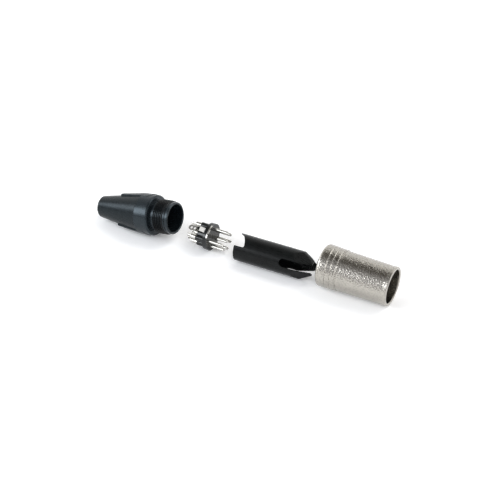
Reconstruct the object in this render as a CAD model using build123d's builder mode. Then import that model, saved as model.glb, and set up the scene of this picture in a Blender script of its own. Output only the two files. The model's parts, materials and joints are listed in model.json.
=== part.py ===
# Seven-pole male cable plug of the round locking kind, taken apart and laid out in a row on a table.
# From left to right along +X: threaded bushing with its soft boot, contact insert, clamping chuck, shell.
# Millimetres, +Z up, table at Z = 0, origin under the middle of the row.
# Every part is drawn along its own axis: s runs along the part towards +X, r is the distance from the axis,
# and an angle round the axis is counted from the top towards the front (-Y).
import os
from math import asin, atan2, cos, degrees, radians, sin, tan

from build123d import *

os.makedirs("parts", exist_ok=True)

# Clearances between mating pieces
slide_clearance = 0.15
chuck_clearance = 0.22
lobe_clearance = 0.13
thread_clearance = 0.10
pin_clearance = 0.03
seam_clearance = 0.05
tab_clearance = 0.10

# Contacts: one in the middle, the others round it, with one place of the circle left to the ground contact
contact_circle_radius = 4.4
contact_circle_places = 7
contact_first_angle = 84.0
pin_radius = 0.75
pin_length = 8.5
pin_tip_length = 0.5
pin_tip_radius = 0.35
cup_radius = 1.2
cup_length = 5.3
cup_bore_radius = 0.85
cup_bore_depth = 3.8
cup_scoop_length = 2.4

# Contact insert
flange_lip = 0.95
flange_length = 2.3
core_length = 4.7
hub_radius = 4.4
lobe_radius = 1.6
key_width = 1.8
key_height = 0.45
key_angle = 218.0

# Ground contact: a ring round the insert's front edge, a spring tab back through the flange, and a solder lug
ring_wall = 0.35
ring_length = 0.6
tab_width = 2.4
tab_thickness = 0.35
tab_length = 5.3
tab_spring = 0.8
lug_width = 2.8
lug_length = 4.4
lug_hole_radius = 0.6
lug_hole_first = 1.6
lug_hole_pitch = 1.7
lug_hole_count = 2

# Chuck, measured back from the tips of its jaws
chuck_length = 40.3
jaw_count = 3
jaw_slot_width = 4.2
jaw_slot_length = 15.8
jaw_slot_first_angle = 66.0
jaw_taper_length = 5.9
jaw_taper_angle = 27.5
jaw_flat_count = 4
jaw_flat_length = 9.4
jaw_flat_slope = 17.5
jaw_flat_first_angle = 21.0
jaw_tip_bore_radius = 2.9
jaw_bore_taper_length = 8.0
jaw_ridge_height = 0.35
jaw_ridge_width = 0.8
jaw_ridge_first = 0.5
jaw_ridge_pitch = 1.1
jaw_ridge_count = 3
notch_depth = 5.2
notch_middle_depth = 4.1
notch_half_width = 4.2
notch_corner = 0.8
notch_angle = 12.5

# Shell, measured back from its mouth
shell_length = 36.1
shell_rear_wall = 1.7
shell_rear_flat = 0.2
band_start = 2.6
band_length = 10.6
band_drop = 0.3
band_step = 0.2
shell_front_wall = 1.35
flare_length = 2.5
shell_mouth_wall = 1.5
shell_mouth_bevel = 0.3
shell_mouth_lip = 0.7
groove_first = 4.85
groove_pitch = 2.5
groove_count = 3
groove_depth = 0.22
groove_half_width = 0.3
mating_bore_radius = 8.25
mating_bore_depth = 13.5
lip_height = 1.0
lip_length = 1.4
latch_window_width = 3.6
latch_window_length = 2.6
latch_window_middle = 6.4
latch_window_angle = 215.0

# Threaded bushing, measured from the front face of its collar: the nose points forward, the core back
nose_end = 10.9
nose_wall = 1.12
nose_bevel = 0.35
nose_bore_bevel = 0.3
nose_groove_start = 9.0
nose_groove_length = 0.35
nose_groove_depth = 0.35
thread_start = 2.0
thread_depth = 0.55
neck_depth = 0.25
collar_step = 0.15
collar_length = 8.0
collar_round = 0.9
seam_bevel = 0.25
bushing_wall = 0.9
cable_bore_radius = 3.9

# Soft boot, measured back from the same face
cable_seat_length = 12.3
tail_step = 0.5
tail_wall = 0.6
tail_end_wall = 1.6
tail_end_round = 1.0

# Fins, one above and one below: raised wedges that widen from the boot to a round end on the bushing's collar
fin_rear_width = 5.8
fin_rear_height = 0.96
fin_shoulder_height = 0.1
fin_front_width = 11.2
fin_front_height = 0.2
fin_front = 4.5
fin_bulge = 2.0
fin_root = 0.3
fin_lean = 30.0
fin_edge_bow = 0.03

# Layout on the table: gaps along the row, then how far each part stands aside and how it is turned
row_front = 80.59
chuck_gap = 4.6
insert_gap = 6.8
boot_gap = 7.9
shell_aside = 1.02
chuck_aside = 0.33
insert_aside = 0.77
boot_aside = -1.16
chuck_turn = 0.75
insert_turn = -1.0
boot_turn = -0.8

# Places round the contact circle
contact_pitch = 360 / contact_circle_places
contacts_round = contact_circle_places - 1
contact_ring = (contact_circle_radius, contacts_round, contact_first_angle, contacts_round * contact_pitch)
tab_angle = contact_first_angle - contact_pitch

# Radii, each from the piece inside it: contacts, insert, chuck, bushing, shell
lobe_reach = contact_circle_radius + lobe_radius
flange_radius = lobe_reach + flange_lip
ring_inner_radius = flange_radius - ring_wall
tab_inner_radius = lobe_reach + pin_clearance
tab_outer_radius = tab_inner_radius + tab_thickness
seat_radius = flange_radius + slide_clearance
lip_radius = seat_radius - lip_height
chuck_radius = seat_radius - chuck_clearance
chuck_bore_radius = lobe_reach + lobe_clearance
jaw_tip_radius = chuck_radius - jaw_taper_length * tan(radians(jaw_taper_angle))
bushing_bore_radius = chuck_radius + slide_clearance
core_radius = bushing_bore_radius + bushing_wall
thread_root_radius = bushing_bore_radius + nose_wall
thread_crest_radius = thread_root_radius + thread_depth
neck_radius = thread_root_radius - neck_depth
shell_thread_radius = thread_crest_radius + thread_clearance
shell_rear_radius = shell_thread_radius + shell_rear_wall
shell_rear_round = shell_rear_wall - shell_rear_flat
band_front_radius = shell_rear_radius - band_drop
shell_front_radius = mating_bore_radius + shell_front_wall
shell_mouth_radius = mating_bore_radius + shell_mouth_wall
collar_radius = shell_rear_radius - collar_step

# Places along the parts, which follow from how far the closed plug pushes the chuck into the bushing
insert_length = flange_length + core_length
cup_end = insert_length + cup_length
shell_thread_depth = nose_end + thread_clearance
chuck_reach = mating_bore_depth + lip_length + flange_length + chuck_length - shell_length
squeeze_start = chuck_reach - jaw_taper_length
squeeze_end = squeeze_start + (bushing_bore_radius - cable_bore_radius) / tan(radians(jaw_taper_angle))
tail_length = squeeze_end + cable_seat_length

# Outside of the boot and of its fins, which end over the tips of the pushed-in jaws
boot_seat_radius = core_radius + seam_clearance
tail_front_radius = collar_radius - tail_step
tail_middle_radius = boot_seat_radius + tail_wall
tail_end_radius = cable_bore_radius + tail_end_wall
tail_slope = (tail_middle_radius - tail_end_radius) / (tail_length - squeeze_start)
tail_fin_radius = tail_middle_radius - tail_slope * (chuck_reach - squeeze_start)
fin_rear_radius = tail_fin_radius + fin_rear_height
fin_shoulder_radius = collar_radius + fin_shoulder_height
fin_front_radius = collar_radius + fin_front_height


def lying(x, y, z, turn, tilt):
    """Profile plane of a part that lies on the table: local X along its axis, local Y upwards."""
    along = Vector(1, 0, 0).rotate(Axis.Y, -tilt).rotate(Axis.Z, turn)
    side = Vector(0, -1, 0).rotate(Axis.Z, turn)
    return Plane(origin=(x, y, z), x_dir=along, z_dir=side)


def outward(frame, angle):
    """Direction away from the part's axis, at an angle from the top towards the front."""
    return frame.y_dir.rotate(Axis((0, 0, 0), frame.x_dir), angle)


def on_axis(frame, s):
    """Point on the part's axis."""
    return Vector(*frame.origin) + frame.x_dir * s


def across(frame, s):
    """Plane across the part at s: local X up, local Y to the front, so angles turn as they are counted."""
    return Plane(origin=on_axis(frame, s), x_dir=frame.y_dir, z_dir=frame.x_dir)


def through(frame, angle):
    """Plane through the part's axis: local X along the axis, local Y outwards at the angle."""
    return Plane(origin=frame.origin, x_dir=frame.x_dir, z_dir=frame.x_dir.cross(outward(frame, angle)))


def facing(frame, s, angle):
    """Plane that looks outwards at the angle from the axis at s: local X along the part."""
    return Plane(origin=on_axis(frame, s), x_dir=frame.x_dir, z_dir=outward(frame, angle))


def turn(frame, corners):
    """Turn a closed outline about the part's axis. A corner is (s, r) or (s, r, rounding)."""
    points = [corner[:2] for corner in corners]
    rounds = [corner[2] if len(corner) > 2 else 0 for corner in corners]
    with BuildSketch(frame) as outline:
        with BuildLine():
            FilletPolyline(*points, radius=rounds, close=True)
        make_face()
    revolve(outline.sketch, axis=Axis(frame.origin, frame.x_dir))


def finish(piece, name):
    piece.part.label = name
    export_step(piece.part, f"parts/{name}.step")


# Shell: lies on its rear band and on the edge of its mouth
shell_tilt = -atan2(shell_rear_radius - shell_mouth_radius, shell_length - band_start - shell_mouth_bevel)
shell_height = shell_mouth_radius * cos(shell_tilt) + shell_mouth_bevel * sin(shell_tilt)
shell_frame = lying(row_front, shell_aside, shell_height, 0, degrees(shell_tilt))
band_slope = (shell_rear_radius - band_front_radius) / (band_length - band_start)
shell_grooves = []
for k in range(groove_count):
    groove = groove_first + k * groove_pitch
    surface = shell_rear_radius - band_slope * (groove - band_start)
    shell_grooves += [
        (groove - shell_length - groove_half_width, surface),
        (groove - shell_length, surface - groove_depth),
        (groove - shell_length + groove_half_width, surface),
    ]

with BuildPart() as shell:
    turn(
        shell_frame,
        [
            (-shell_length, shell_thread_radius),
            (-shell_length, shell_rear_radius, shell_rear_round),
            (-shell_length + band_start, shell_rear_radius),
            *shell_grooves,
            (-shell_length + band_length, band_front_radius),
            (-shell_length + band_length, band_front_radius - band_step),
            (-flare_length, shell_front_radius),
            (-shell_mouth_lip, shell_mouth_radius),
            (-shell_mouth_bevel, shell_mouth_radius),
            (0, shell_mouth_radius - shell_mouth_bevel),
            (0, mating_bore_radius + shell_mouth_bevel),
            (-shell_mouth_bevel, mating_bore_radius),
            (-mating_bore_depth, mating_bore_radius),
            (-mating_bore_depth, lip_radius),
            (-mating_bore_depth - lip_length, lip_radius),
            (-mating_bore_depth - lip_length, seat_radius),
            (-shell_length + shell_thread_depth, seat_radius),
            (-shell_length + shell_thread_depth, shell_thread_radius),
        ],
    )
    # Keyway for the insert's key, from the rear to the lip
    with BuildSketch(across(shell_frame, -shell_length)):
        with PolarLocations(seat_radius, 1, key_angle):
            Rectangle(2 * (key_height + slide_clearance), key_width + 2 * slide_clearance)
    extrude(amount=shell_length - mating_bore_depth - lip_length, mode=Mode.SUBTRACT)
    # Window that the latch of the socket drops into
    with BuildSketch(facing(shell_frame, -latch_window_middle, latch_window_angle)):
        Rectangle(latch_window_length, latch_window_width)
    extrude(amount=2 * shell_mouth_radius, mode=Mode.SUBTRACT)
finish(shell, "shell")

# Chuck: a slotted clamping tube that lies on its side, its jaws towards the shell
shell_rear = row_front - shell_length * cos(shell_tilt)
chuck_frame = lying(shell_rear - chuck_gap, chuck_aside, chuck_radius, chuck_turn, 0)
jaw_bore_slope = (chuck_bore_radius - jaw_tip_bore_radius) / jaw_bore_taper_length
jaw_ridges = []
for k in range(jaw_ridge_count):
    ridge = jaw_ridge_first + k * jaw_ridge_pitch
    for step, height in ((0, 0), (jaw_ridge_width / 2, jaw_ridge_height), (jaw_ridge_width, 0)):
        surface = jaw_tip_bore_radius + jaw_bore_slope * (ridge + step)
        jaw_ridges.append((-ridge - step, surface - height))

with BuildPart() as chuck:
    turn(
        chuck_frame,
        [
            (-chuck_length, chuck_bore_radius),
            (-chuck_length, chuck_radius),
            (-jaw_taper_length, chuck_radius),
            (0, jaw_tip_radius),
            (0, jaw_tip_bore_radius),
            *jaw_ridges,
            (-jaw_bore_taper_length, chuck_bore_radius),
        ],
    )
    # Slots between the jaws, with round ends
    for k in range(jaw_count):
        slot_angle = jaw_slot_first_angle + k * 360 / jaw_count
        with BuildSketch(facing(chuck_frame, -jaw_slot_length + jaw_slot_width / 2, slot_angle)):
            Circle(jaw_slot_width / 2)
            Rectangle(jaw_slot_length, jaw_slot_width, align=(Align.MIN, Align.CENTER))
        extrude(amount=2 * chuck_radius, mode=Mode.SUBTRACT)
    # Flats that slant down to the tips
    flat_drop = jaw_flat_length * tan(radians(jaw_flat_slope))
    for k in range(jaw_flat_count):
        with BuildSketch(through(chuck_frame, jaw_flat_first_angle + k * 360 / jaw_flat_count)):
            with BuildLine():
                Polyline(
                    (-jaw_flat_length, chuck_radius),
                    (jaw_flat_length, chuck_radius - 2 * flat_drop),
                    (jaw_flat_length, 2 * chuck_radius),
                    (-jaw_flat_length, 2 * chuck_radius),
                    close=True,
                )
            make_face()
        extrude(amount=chuck_radius, both=True, mode=Mode.SUBTRACT)
    # Notch that clears the ground tab, with a tongue in front of it
    with BuildSketch(facing(chuck_frame, -chuck_length, notch_angle)):
        with BuildLine():
            Polyline(
                (0, notch_half_width),
                (-notch_depth, notch_half_width),
                (-notch_depth, -notch_half_width),
                (notch_depth - notch_corner, -notch_half_width),
            )
            RadiusArc(
                (notch_depth - notch_corner, -notch_half_width),
                (notch_depth, notch_corner - notch_half_width),
                -notch_corner,
            )
            ThreePointArc(
                (notch_depth, notch_corner - notch_half_width),
                (notch_middle_depth, 0),
                (0, notch_half_width),
            )
        make_face()
    extrude(amount=2 * chuck_radius, mode=Mode.SUBTRACT)
finish(chuck, "chuck")

# Contact insert: lies on its flange, pins towards the chuck. s = 0 is its front face
chuck_rear = shell_rear - chuck_gap - chuck_length * cos(radians(chuck_turn))
insert_face = chuck_rear - insert_gap - pin_length * cos(radians(insert_turn))
insert_frame = lying(insert_face, insert_aside, flange_radius, insert_turn, 0)

with BuildPart() as insert_body:
    with BuildSketch(across(insert_frame, -insert_length)):
        Circle(hub_radius)
        with PolarLocations(*contact_ring):
            Circle(lobe_radius)
    extrude(amount=insert_length)
    with BuildSketch(across(insert_frame, -flange_length)):
        Circle(flange_radius)
    extrude(amount=flange_length - ring_length)
    with BuildSketch(across(insert_frame, -ring_length)):
        Circle(ring_inner_radius)
    extrude(amount=ring_length)
    # Key
    with BuildSketch(across(insert_frame, -flange_length)):
        with PolarLocations(flange_radius, 1, key_angle):
            Rectangle(2 * key_height, key_width)
    extrude(amount=flange_length - ring_length)
    # Slot for the ground tab, open to the ring's seat
    tab_room = tab_width + 2 * tab_clearance
    with BuildSketch(through(insert_frame, tab_angle)):
        with Locations((-insert_length, tab_inner_radius)):
            Rectangle(insert_length, tab_thickness + tab_clearance, align=(Align.MIN, Align.MIN))
        with Locations((-ring_length, tab_inner_radius)):
            Rectangle(ring_length, ring_wall + tab_thickness, align=(Align.MIN, Align.MIN))
    extrude(amount=tab_room / 2, both=True, mode=Mode.SUBTRACT)
    # Holes for the contacts
    with BuildSketch(across(insert_frame, -insert_length)):
        Circle(pin_radius + pin_clearance)
        with PolarLocations(*contact_ring):
            Circle(pin_radius + pin_clearance)
    extrude(amount=insert_length, mode=Mode.SUBTRACT)
finish(insert_body, "insert_body")

# Ground contact, stamped in one piece: behind its spring the tab dips to the contact circle and ends in a lug
lug_front = cup_end - lug_length
with BuildPart() as ground_contact:
    with BuildSketch(across(insert_frame, -ring_length)):
        Circle(flange_radius)
        Circle(ring_inner_radius, mode=Mode.SUBTRACT)
    extrude(amount=ring_length)
    with BuildSketch(through(insert_frame, tab_angle)):
        with BuildLine():
            Polyline(
                (0, tab_inner_radius),
                (0, flange_radius - ring_wall / 2),
                (-ring_length, flange_radius - ring_wall / 2),
                (-ring_length, tab_outer_radius),
                (-flange_length, tab_outer_radius),
                (-tab_length, tab_outer_radius + tab_spring),
                (-lug_front, contact_circle_radius + tab_thickness),
                (-lug_front, contact_circle_radius),
                (-tab_length, tab_inner_radius + tab_spring),
                (-flange_length, tab_inner_radius),
                close=True,
            )
        make_face()
    extrude(amount=tab_width / 2, both=True)
    with BuildSketch(facing(insert_frame, -cup_end, tab_angle).offset(contact_circle_radius)):
        with Locations((lug_width / 2, 0)):
            Circle(lug_width / 2)
            Rectangle(lug_length - lug_width / 2, lug_width, align=(Align.MIN, Align.CENTER))
        with Locations([(lug_hole_first + k * lug_hole_pitch, 0) for k in range(lug_hole_count)]):
            Circle(lug_hole_radius, mode=Mode.SUBTRACT)
    extrude(amount=tab_thickness)
finish(ground_contact, "ground_contact")

# Contacts: turned pins with a solder cup behind the insert, six in a circle and one in the middle
contact_places = [(0, contact_first_angle)]
for k in range(contacts_round):
    contact_places.append((contact_circle_radius, contact_first_angle + k * contact_pitch))

for number, (off_centre, angle) in enumerate(contact_places, start=1):
    contact_origin = Vector(*insert_frame.origin) + outward(insert_frame, angle) * off_centre
    contact_frame = Plane(origin=contact_origin, x_dir=insert_frame.x_dir, z_dir=insert_frame.z_dir)
    with BuildPart() as contact:
        turn(
            contact_frame,
            [
                (pin_length, 0),
                (pin_length, pin_tip_radius),
                (pin_length - pin_tip_length, pin_radius),
                (-insert_length, pin_radius),
                (-insert_length, cup_radius),
                (-cup_end, cup_radius),
                (-cup_end, cup_bore_radius),
                (-cup_end + cup_bore_depth, cup_bore_radius),
                (-cup_end + cup_bore_depth, 0),
            ],
        )
        # The cup is cut away on its outer side, where the wire is laid in
        with BuildSketch(facing(contact_frame, -cup_end, angle)):
            Rectangle(cup_scoop_length, 2 * cup_radius, align=(Align.MIN, Align.CENTER))
        extrude(amount=cup_radius, mode=Mode.SUBTRACT)
    finish(contact, f"contact_{number}")

# Threaded bushing and boot: lie on the slightly bowed edge of the lower fin. s = 0 is the collar's front face
fin_corner = degrees(asin(fin_rear_width / 2 / fin_rear_radius))
fin_rest = fin_rear_radius * cos(radians(fin_lean - fin_corner))
boot_tilt = atan2(fin_shoulder_radius - fin_rest, chuck_reach - collar_length)
boot_height = fin_shoulder_radius * cos(boot_tilt) + collar_length * sin(boot_tilt) + fin_edge_bow
collar_face = insert_face - cup_end * cos(radians(insert_turn)) - boot_gap - nose_end * cos(boot_tilt)
boot_frame = lying(collar_face, boot_aside, boot_height, boot_turn, degrees(boot_tilt))


def fins(corners):
    """One stretch of both fins: a ring turned to the fins' height, cut to their wedge outline."""
    with BuildPart() as wedges:
        turn(boot_frame, corners)
        for angle in (-fin_lean, 180 - fin_lean):
            with BuildSketch(facing(boot_frame, 0, angle)):
                with BuildLine():
                    Polyline(
                        (-fin_front, fin_front_width / 2),
                        (-chuck_reach, fin_rear_width / 2),
                        (-chuck_reach, -fin_rear_width / 2),
                        (-fin_front, -fin_front_width / 2),
                    )
                    ThreePointArc(
                        (-fin_front, -fin_front_width / 2),
                        (fin_bulge - fin_front, 0),
                        (-fin_front, fin_front_width / 2),
                    )
                make_face()
        extrude(amount=2 * collar_radius, mode=Mode.INTERSECT)
    return wedges.part


with BuildPart() as threaded_bushing:
    turn(
        boot_frame,
        [
            (-squeeze_end, cable_bore_radius),
            (-squeeze_end, cable_bore_radius + bushing_wall),
            (-squeeze_start, core_radius),
            (-collar_length, core_radius),
            (-collar_length, collar_radius - seam_bevel),
            (-collar_length + seam_bevel, collar_radius),
            (0, collar_radius, collar_round),
            (0, neck_radius),
            (thread_start, neck_radius),
            (thread_start, thread_root_radius),
            (nose_groove_start, thread_root_radius),
            (nose_groove_start, thread_root_radius - nose_groove_depth),
            (nose_groove_start + nose_groove_length, thread_root_radius - nose_groove_depth),
            (nose_groove_start + nose_groove_length, thread_root_radius),
            (nose_end - nose_bevel, thread_root_radius),
            (nose_end, thread_root_radius - nose_bevel),
            (nose_end, bushing_bore_radius + nose_bore_bevel),
            (nose_end - nose_bore_bevel, bushing_bore_radius),
            (-squeeze_start, bushing_bore_radius),
        ],
    )
    add(
        fins(
            [
                (-collar_length, collar_radius - seam_bevel - fin_root),
                (-collar_length, fin_shoulder_radius),
                (fin_bulge - fin_front, fin_front_radius),
                (fin_bulge - fin_front, collar_radius - fin_root),
            ]
        )
    )
finish(threaded_bushing, "threaded_bushing")

with BuildPart() as soft_boot:
    turn(
        boot_frame,
        [
            (-tail_length, cable_bore_radius),
            (-tail_length, tail_end_radius, tail_end_round),
            (-squeeze_start, tail_middle_radius),
            (-collar_length - seam_bevel, tail_front_radius),
            (-collar_length, tail_front_radius - seam_bevel),
            (-collar_length, boot_seat_radius),
            (-squeeze_start, boot_seat_radius),
            (-squeeze_end, cable_bore_radius + bushing_wall + seam_clearance),
            (-squeeze_end, cable_bore_radius),
        ],
    )
    add(
        fins(
            [
                (-chuck_reach, tail_fin_radius - fin_root),
                (-chuck_reach, fin_rear_radius),
                (-collar_length, fin_shoulder_radius),
                (-collar_length, tail_front_radius - seam_bevel - fin_root),
                (-squeeze_start, tail_middle_radius - fin_root),
            ]
        )
    )
finish(soft_boot, "soft_boot")
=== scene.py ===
"""Looks of a round locking cable plug that lies taken apart in a row on white paper."""
import json
import math

import bmesh
import bpy
from mathutils import Matrix, Vector


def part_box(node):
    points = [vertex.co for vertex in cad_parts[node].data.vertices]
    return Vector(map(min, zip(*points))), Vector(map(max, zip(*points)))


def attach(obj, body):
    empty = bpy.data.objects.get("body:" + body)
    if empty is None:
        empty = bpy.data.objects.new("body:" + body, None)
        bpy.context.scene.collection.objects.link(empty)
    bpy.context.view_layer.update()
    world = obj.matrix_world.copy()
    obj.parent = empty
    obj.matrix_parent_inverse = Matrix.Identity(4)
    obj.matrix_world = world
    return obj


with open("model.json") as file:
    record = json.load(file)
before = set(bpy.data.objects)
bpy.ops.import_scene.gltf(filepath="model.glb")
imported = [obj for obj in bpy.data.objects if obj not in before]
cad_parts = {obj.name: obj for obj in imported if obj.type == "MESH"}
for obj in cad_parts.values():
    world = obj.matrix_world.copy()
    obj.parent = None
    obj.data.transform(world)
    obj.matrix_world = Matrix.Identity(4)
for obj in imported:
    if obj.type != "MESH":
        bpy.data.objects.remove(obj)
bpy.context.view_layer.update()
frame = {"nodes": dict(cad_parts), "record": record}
mounts = {mount["name"]: mount for mount in frame["record"]["mounts"]}

MM = 0.001

# Axes of the row, the shell and the boot, all towards the shell's mouth
ROW_AXIS = Vector((1.0, 0.0, 0.0))
SHELL_AXIS = Vector(mounts["mating_bore"]["axis"])
BOOT_AXIS = -Vector(mounts["cable_entry"]["axis"])

# View of the photograph: degrees right of the front and above the table, metres, and a lens in millimetres
VIEW_RIGHT = 27.7
VIEW_UP = 35.49
VIEW_DISTANCE = 0.5879
VIEW_AIM = (0.00645, -0.00164, 0.008)
NEAR_CLIP = 0.01
LENS = 86.41
SENSOR = 36.0

# Threads in millimetres: pitch, a ridge's width at its foot and at its crest, and how deep its foot is sunk
THREAD_PITCH = 1.0
THREAD_FOOT = 0.8
THREAD_CREST = 0.12
THREAD_SINK = 0.1
# Steps in a turn of thread, and the share of a turn in which it rises and runs out
THREAD_STEPS = 72
THREAD_RUN_OUT = 1 / 3
# Rear and front end of each thread, measured back from the front end of its part, and its radii
BUSHING_THREAD = (8.6, 2.2)
BUSHING_ROOT = 8.15
BUSHING_CREST = 8.7
SHELL_THREAD = (35.5, 26.1)
SHELL_ROOT = 8.8
SHELL_CREST = 8.28

# Rounding that edges show, in millimetres, and the samples it is worked out with
EDGE_ROUND = 0.12
EDGE_SAMPLES = 6

# Noise up to which a mottled surface is all dark, and from which it is all light
MOTTLE_DARK = 0.3
MOTTLE_LIGHT = 0.7

# Nickel: grains and relief in millimetres, shares of its colour, and noise from a pit's floor to its rim
NICKEL = (0.455, 0.432, 0.391)
CAST_GRAIN = 0.8
CAST_HEIGHT = 0.2
PLATED_GRAIN = 0.3
PLATED_HEIGHT = 0.02
NICKEL_CLOUD = 4.0
NICKEL_DULL = 0.9
NICKEL_PIT = 0.78
PIT_FLOOR = 0.38
PIT_RIM = 0.5
# Roughness of the casting's low and high spots, and the noise at which they are low and high
LOW_ROUGH = 0.22
HIGH_ROUGH = 0.12
LOW_SPOT = 0.35
HIGH_SPOT = 0.65

# Mouldings: grains and relief in millimetres, how far a streak is drawn out, and a tint of what they mirror
STREAK_GRAIN = 0.5
STREAK_LENGTH = 9.0
STREAK_HEIGHT = 0.004
RUBBER_STREAK_HEIGHT = 0.012
MOULD_GRAIN = 0.25
MOULD_HEIGHT = 0.003
MOULD_CLOUD = 3.0
BLUE_SHEEN = (0.75, 0.9, 1.0)

# Silver plating: its colours, its cloud in millimetres, how far that is drawn out, its relief and roughness
SILVER_DULL = (0.46, 0.45, 0.42)
SILVER_BRIGHT = (0.62, 0.61, 0.58)
SILVER_CLOUD = 0.8
SILVER_DRAWN = 4.0
SILVER_HEIGHT = 0.008
SILVER_ROUGH = (0.05, 0.14)

# Ground contact's tab, in millimetres back from the front of its box, in from the near side and down
RING_TAB = (0.525, 3.178, 1.1)
# Millimetres from the tab at which the ring stops being bright, because the insert is moulded over it
RING_BRIGHT = 3.9
RING_SOFT = 0.2
MOULDED_OVER = (0.01, 0.011, 0.012)
# Rear of the ring and both ends of the spring behind it, in millimetres back from the front of its box
RING_REAR = 1.225
REAR_SOFT = 0.05
SPRING_FRONT = 1.625
SPRING_REAR = 5.425
SPRING_SOFT = 0.2
# Spring as it is rubbed: lighter, and so much rougher
SPRING_SILVER = (0.9, 0.89, 0.86)
SPRING_RUBBED = 0.5

# Floor in metres, and its white as it is seen, straight on and in reflections, and as it throws light back
FLOOR_SIZE = 1.3
PAPER_SEEN = 1.15
PAPER_MATT = 0.8

# Lamps: metres from the middle of the row, and the colour of the key lamp
LAMP_DISTANCE = 1.0
DAYLIGHT = (0.92, 0.96, 1.0)

# Studio round the table: colours by the sine of the height above the horizon
STUDIO_BEHIND = [
    (0.0, (1.0, 1.0, 1.0)),
    (0.42, (1.28, 1.28, 1.28)),
    (0.71, (0.96, 0.96, 0.95)),
    (0.87, (0.28, 0.27, 0.25)),
    (0.97, (0.1, 0.09, 0.08)),
    (1.0, (0.06, 0.05, 0.04)),
]
STUDIO_BEFORE = [
    (0.0, (1.0, 1.0, 1.0)),
    (0.06, (0.8, 0.8, 0.81)),
    (0.3, (0.62, 0.62, 0.64)),
    (0.7, (0.58, 0.58, 0.61)),
    (0.87, (0.42, 0.42, 0.42)),
    (0.97, (0.13, 0.12, 0.11)),
    (1.0, (0.06, 0.05, 0.04)),
]
# How far before and behind the middle the one fades into the other
STUDIO_FADE = 0.35

# The Mix node's colour sockets go by number, because its other sockets have the same names
MIX_SHARE = 0
MIX_FIRST = 6
MIX_SECOND = 7
MIX_COLOUR = 2


def shade(colour, share):
    """Colour brought down to a share of itself."""
    return tuple(share * c for c in colour)


def opaque(colour):
    """Colour with full alpha, or a socket as it is."""
    return colour if isinstance(colour, bpy.types.NodeSocket) else (*colour, 1.0)


class Graph:
    """A node tree, built one node at a time."""

    def __init__(self, tree):
        self.tree = tree

    def set(self, node, inputs):
        """Links or sets a node's inputs."""
        for key, value in inputs.items():
            if isinstance(value, bpy.types.NodeSocket):
                self.tree.links.new(value, node.inputs[key])
            else:
                node.inputs[key].default_value = value

    def add(self, kind, inputs, **settings):
        """New node with its settings and inputs."""
        node = self.tree.nodes.new("ShaderNode" + kind)
        for key, value in settings.items():
            setattr(node, key, value)
        self.set(node, inputs)
        return node

    def math(self, operation, *values):
        """Result of a Math node."""
        return self.add("Math", dict(enumerate(values)), operation=operation).outputs["Value"]

    def ramp(self, value, stops):
        """Colour ramp through (position, colour) stops."""
        node = self.add("ValToRGB", {"Fac": value})
        elements = node.color_ramp.elements
        while len(elements) < len(stops):
            elements.new(0.5)
        for element, (position, colour) in zip(elements, stops):
            element.position = position
            element.color = opaque(colour)
        return node.outputs["Color"]

    def spread(self, value, low, high, start=0.0, end=1.0):
        """Value between start and end, spread smoothly from low to high."""
        inputs = {"Value": value, "From Min": start, "From Max": end, "To Min": low, "To Max": high}
        return self.add("MapRange", inputs, interpolation_type="SMOOTHSTEP").outputs["Result"]

    def blend(self, share, first, second):
        """Colour between a first and a second one."""
        inputs = {MIX_SHARE: share, MIX_FIRST: opaque(first), MIX_SECOND: opaque(second)}
        return self.add("Mix", inputs, data_type="RGBA").outputs[MIX_COLOUR]


class Shader(Graph):
    """A material's node tree, with its textures laid along the axis of the part that wears it."""

    def __init__(self, name, along=ROW_AXIS):
        self.material = bpy.data.materials.new(name)
        self.material.use_nodes = True
        super().__init__(self.material.node_tree)
        self.turn = along.to_track_quat("X", "Z").inverted().to_euler()

    def where(self):
        """Place in the object's frame, in metres."""
        return self.add("TexCoord", {}).outputs["Object"]

    def noise(self, grain, detail=2.0, roughness=0.5, drawn=1.0):
        """Noise with grains of so many millimetres, drawn out along the part."""
        turned = self.add("Mapping", {"Vector": self.where(), "Rotation": self.turn}).outputs["Vector"]
        place = self.add("Mapping", {"Vector": turned, "Scale": (1.0 / drawn, 1.0, 1.0)}).outputs["Vector"]
        inputs = {"Vector": place, "Scale": 1.0 / (grain * MM), "Detail": detail, "Roughness": roughness}
        return self.add("TexNoise", inputs).outputs["Fac"]

    def mottle(self, cloud, dark, light):
        """Colour that drifts from dark to light with a cloud of noise."""
        return self.ramp(cloud, [(MOTTLE_DARK, dark), (MOTTLE_LIGHT, light)])

    def bump(self, height, distance, under=None):
        """Relief of so many millimetres, over another one or else over rounded edges."""
        if under is None:
            under = self.add("Bevel", {"Radius": EDGE_ROUND * MM}, samples=EDGE_SAMPLES).outputs["Normal"]
        inputs = {"Height": height, "Distance": distance * MM, "Normal": under}
        return self.add("Bump", inputs).outputs["Normal"]

    def edge(self, value, place, soft, before=0.0, after=1.0):
        """Step from one value to another at a place, softened to either side of it. Metres."""
        return self.spread(value, before, after, place - soft, place + soft)

    def finish(self, inputs):
        """Material with these inputs on its surface."""
        self.set(self.tree.nodes["Principled BSDF"], inputs)
        return self.material


def nickel():
    """Satin nickel over a grained casting, a little dull in clouds and dark in its pits."""
    shader = Shader("satin_nickel", SHELL_AXIS)
    casting = shader.noise(CAST_GRAIN, roughness=0.6)
    plated = shader.noise(PLATED_GRAIN)
    cloud = shader.noise(NICKEL_CLOUD)
    colour = shader.mottle(cloud, shade(NICKEL, NICKEL_DULL), NICKEL)
    pits = shader.spread(casting, 1.0, 0.0, PIT_FLOOR, PIT_RIM)
    return shader.finish(
        {
            "Base Color": shader.blend(pits, colour, shade(NICKEL, NICKEL_PIT)),
            "Metallic": 1.0,
            "Roughness": shader.spread(casting, LOW_ROUGH, HIGH_ROUGH, LOW_SPOT, HIGH_SPOT),
            "Normal": shader.bump(plated, PLATED_HEIGHT, under=shader.bump(casting, CAST_HEIGHT)),
        }
    )


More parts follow.
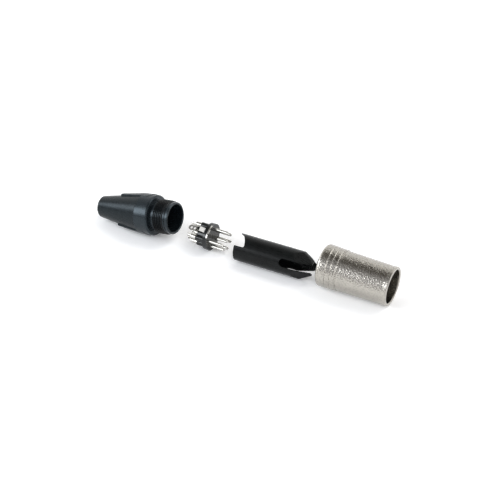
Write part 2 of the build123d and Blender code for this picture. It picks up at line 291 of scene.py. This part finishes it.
def moulding(name, along, dark, light, rough, gloss, sheen=(1.0, 1.0, 1.0), height=STREAK_HEIGHT):
    """Moulded plastic or rubber: faint flow streaks along the part, a fine grain and rubbed patches."""
    shader = Shader(name, along)
    streaks = shader.noise(STREAK_GRAIN, detail=3.0, roughness=0.6, drawn=STREAK_LENGTH)
    grain = shader.noise(MOULD_GRAIN)
    cloud = shader.noise(MOULD_CLOUD, detail=3.0)
    return shader.finish(
        {
            "Base Color": shader.mottle(cloud, dark, light),
            "Roughness": shader.spread(streaks, *rough, MOTTLE_DARK, MOTTLE_LIGHT),
            "Specular IOR Level": gloss,
            "Specular Tint": opaque(sheen),
            "Normal": shader.bump(grain, MOULD_HEIGHT, under=shader.bump(streaks, height)),
        }
    )


def plating(shader):
    """Colour, roughness and relief of silver plating, drawn along the contacts and a little uneven."""
    cloud = shader.noise(SILVER_CLOUD, detail=3.0, drawn=SILVER_DRAWN)
    colour = shader.mottle(cloud, SILVER_DULL, SILVER_BRIGHT)
    rough = shader.spread(cloud, *SILVER_ROUGH, MOTTLE_DARK, MOTTLE_LIGHT)
    return colour, rough, shader.bump(cloud, SILVER_HEIGHT)


def silver():
    """Bright silver plating."""
    shader = Shader("silver_plating")
    colour, rough, relief = plating(shader)
    return shader.finish({"Base Color": colour, "Metallic": 1.0, "Roughness": rough, "Normal": relief})


def ground_silver():
    """Silver plating of the ground contact, rubbed on its spring and moulded over on its ring off the tab."""
    shader = Shader("silver_plating_moulded_over")
    colour, rough, relief = plating(shader)
    where = shader.where()
    along = shader.add("SeparateXYZ", {"Vector": where}).outputs["X"]
    (_, near, _), (front, _, top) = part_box("ground_contact")
    back, inwards, down = shade(RING_TAB, MM)
    tab = (front - back, near + inwards, top - down)
    reach = shader.add("VectorMath", {0: where, 1: tab}, operation="DISTANCE").outputs["Value"]
    off_tab = shader.edge(reach, RING_BRIGHT * MM, RING_SOFT * MM)
    on_ring = shader.edge(along, front - RING_REAR * MM, REAR_SOFT * MM)
    covered = shader.math("MULTIPLY", off_tab, on_ring)
    past_rear = shader.edge(along, front - SPRING_REAR * MM, SPRING_SOFT * MM)
    past_front = shader.edge(along, front - SPRING_FRONT * MM, SPRING_SOFT * MM, before=1.0, after=0.0)
    spring = shader.math("MULTIPLY", past_rear, past_front)
    return shader.finish(
        {
            "Base Color": shader.blend(covered, shader.blend(spring, colour, SPRING_SILVER), MOULDED_OVER),
            "Metallic": shader.math("SUBTRACT", 1.0, covered),
            "Roughness": shader.math("MULTIPLY_ADD", spring, SPRING_RUBBED, rough),
            "Normal": relief,
        }
    )


def dress(node, material):
    """Gives a CAD node its finish."""
    for slot in frame["nodes"][node].material_slots:
        slot.material = material


def front_frame(node, mount, along):
    """Frame on a part's axis at its front end, with its X forward along the axis."""
    point = Vector(mounts[mount]["pos_m"])
    reach = max(corner.co.dot(along) for corner in frame["nodes"][node].data.vertices)
    front = point + along * (reach - point.dot(along))
    return Matrix.Translation(front) @ along.to_track_quat("X", "Z").to_matrix().to_4x4()


def ridge(front, ends, root, crest):
    """Corners and faces of a helical ridge behind a part's front frame. Sizes in millimetres."""
    start, end = (-back for back in ends)
    turns = (end - start) / THREAD_PITCH
    steps = round(turns * THREAD_STEPS)
    foot = root + math.copysign(THREAD_SINK, root - crest)
    half_foot = THREAD_FOOT / 2
    half_crest = THREAD_CREST / 2
    corners = []
    for k in range(steps + 1):
        turned = k / THREAD_STEPS
        rise = min(1.0, turned / THREAD_RUN_OUT, (turns - turned) / THREAD_RUN_OUT)
        top = root + (crest - root) * rise
        middle = start + turned * THREAD_PITCH
        angle = 2 * math.pi * turned
        for offset, r in ((-half_foot, foot), (-half_crest, top), (half_crest, top), (half_foot, foot)):
            corner = Vector((middle + offset, r * math.cos(angle), r * math.sin(angle)))
            corners.append(front @ (corner * MM))
    sides = len(corners) // (steps + 1)
    first = range(sides)
    last = range(sides * steps, sides * (steps + 1))
    faces = [tuple(reversed(first)), tuple(last)]
    for k in range(steps):
        for side in range(sides):
            a = sides * k + side
            b = sides * k + (side + 1) % sides
            faces.append((a, b, b + sides, a + sides))
    return corners, faces


def thread(name, front, ends, root, crest, material):
    """Thread as a piece of its own, with its faces turned outwards."""
    mesh = bpy.data.meshes.new(name)
    corners, faces = ridge(front, ends, root, crest)
    mesh.from_pydata(corners, [], faces)
    shape = bmesh.new()
    shape.from_mesh(mesh)
    bmesh.ops.recalc_face_normals(shape, faces=shape.faces)
    shape.to_mesh(mesh)
    shape.free()
    mesh.materials.append(material)
    obj = bpy.data.objects.new(name, mesh)
    bpy.context.scene.collection.objects.link(obj)
    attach(obj, "root")


def stage_floor():
    """White paper that keeps the object's shadow."""
    bpy.ops.mesh.primitive_plane_add(size=FLOOR_SIZE)
    floor = bpy.context.object
    floor.name = "floor"
    shader = Shader("white_paper")
    rays = shader.add("LightPath", {}).outputs
    mirrored = shader.math("MAXIMUM", rays["Is Glossy Ray"], rays["Is Transmission Ray"])
    seen = shader.math("MAXIMUM", rays["Is Camera Ray"], mirrored)
    white = shader.blend(seen, [PAPER_MATT] * 3, [PAPER_SEEN] * 3)
    matt = shader.add("BsdfDiffuse", {"Color": white}).outputs["BSDF"]
    shader.set(shader.tree.nodes["Material Output"], {"Surface": matt})
    floor.data.materials.append(shader.material)


def stage_world():
    """Studio round the table: white at its foot and behind, darker overhead and in front."""
    world = bpy.data.worlds.new("studio")
    bpy.context.scene.world = world
    world.use_nodes = True
    graph = Graph(world.node_tree)
    direction = graph.add("TexCoord", {}).outputs["Generated"]
    parts = graph.add("SeparateXYZ", {"Vector": direction}).outputs
    behind = graph.ramp(parts["Z"], STUDIO_BEHIND)
    before = graph.ramp(parts["Z"], STUDIO_BEFORE)
    side = graph.spread(parts["Y"], 0.0, 1.0, -STUDIO_FADE, STUDIO_FADE)
    graph.set(world.node_tree.nodes["Background"], {"Color": graph.blend(side, before, behind)})


def towards(right, up):
    """Direction from the table at degrees to the right of the front and degrees above it."""
    azimuth = math.radians(right)
    elevation = math.radians(up)
    flat = math.cos(elevation)
    return Vector((math.sin(azimuth) * flat, -math.cos(azimuth) * flat, math.sin(elevation)))


def stand(name, data, place, direction):
    """New lamp or camera at a place, facing back along a direction."""
    obj = bpy.data.objects.new(name, data)
    bpy.context.scene.collection.objects.link(obj)
    obj.location = place
    obj.rotation_euler = direction.to_track_quat("Z", "Y").to_euler()
    return obj


def softbox(name, right, up, width, depth, radiance, colour=(1.0, 1.0, 1.0)):
    """Lamp that faces the row from a direction given in degrees."""
    light = bpy.data.lights.new(name, "AREA")
    light.shape = "RECTANGLE"
    light.size = width
    light.size_y = depth
    light.energy = radiance * math.pi * width * depth
    light.color = colour
    direction = towards(right, up)
    stand(name, light, direction * LAMP_DISTANCE, direction)


def stage_camera():
    """Camera at the photograph's viewing angle."""
    data = bpy.data.cameras.new("camera")
    data.lens = LENS
    data.sensor_width = SENSOR
    data.clip_start = NEAR_CLIP
    direction = towards(VIEW_RIGHT, VIEW_UP)
    place = Vector(VIEW_AIM) + direction * VIEW_DISTANCE
    bpy.context.scene.camera = stand("camera", data, place, direction)


shell_nickel = nickel()
contact_silver = silver()
finishes = {
    "shell": shell_nickel,
    "chuck": moulding(
        "black_acetal",
        ROW_AXIS,
        dark=(0.003, 0.0035, 0.0035),
        light=(0.006, 0.007, 0.007),
        rough=(0.24, 0.36),
        gloss=0.15,
    ),
    "insert_body": moulding(
        "black_insert",
        ROW_AXIS,
        dark=(0.002, 0.003, 0.003),
        light=(0.005, 0.006, 0.006),
        rough=(0.12, 0.22),
        gloss=0.42,
    ),
    "ground_contact": ground_silver(),
    "threaded_bushing": moulding(
        "blue_black_polyamide",
        BOOT_AXIS,
        dark=(0.004, 0.006, 0.008),
        light=(0.008, 0.011, 0.013),
        rough=(0.22, 0.3),
        gloss=0.4,
        sheen=BLUE_SHEEN,
    ),
    "soft_boot": moulding(
        "blue_black_rubber",
        BOOT_AXIS,
        dark=(0.003, 0.005, 0.006),
        light=(0.006, 0.0085, 0.01),
        rough=(0.24, 0.34),
        gloss=0.2,
        sheen=BLUE_SHEEN,
        height=RUBBER_STREAK_HEIGHT,
    ),
}
for node in frame["nodes"]:
    dress(node, finishes.get(node, contact_silver))

thread(
    "bushing_thread",
    front_frame("threaded_bushing", "cable_entry", BOOT_AXIS),
    BUSHING_THREAD,
    BUSHING_ROOT,
    BUSHING_CREST,
    # The thread wears a copy of the bushing's polyamide painted about half as dark: painted shade over the
    # thread.
    moulding(
        "blue_black_thread_painted_shade",
        BOOT_AXIS,
        dark=(0.002, 0.003, 0.003),
        light=(0.004, 0.005, 0.006),
        rough=(0.2, 0.3),
        gloss=0.2,
    ),
)
thread(
    "shell_thread",
    front_frame("shell", "mating_bore", SHELL_AXIS),
    SHELL_THREAD,
    SHELL_ROOT,
    SHELL_CREST,
    shell_nickel,
)

stage_floor()
stage_world()
softbox("key", right=-53.5, up=27, width=0.92, depth=0.36, radiance=7.0, colour=DAYLIGHT)
softbox("overhead", right=142, up=55, width=0.6, depth=0.6, radiance=2.6)
softbox("fill", right=52, up=34, width=0.5, depth=0.5, radiance=2.2)
stage_camera()
bpy.context.scene.view_settings.view_transform = "Standard"
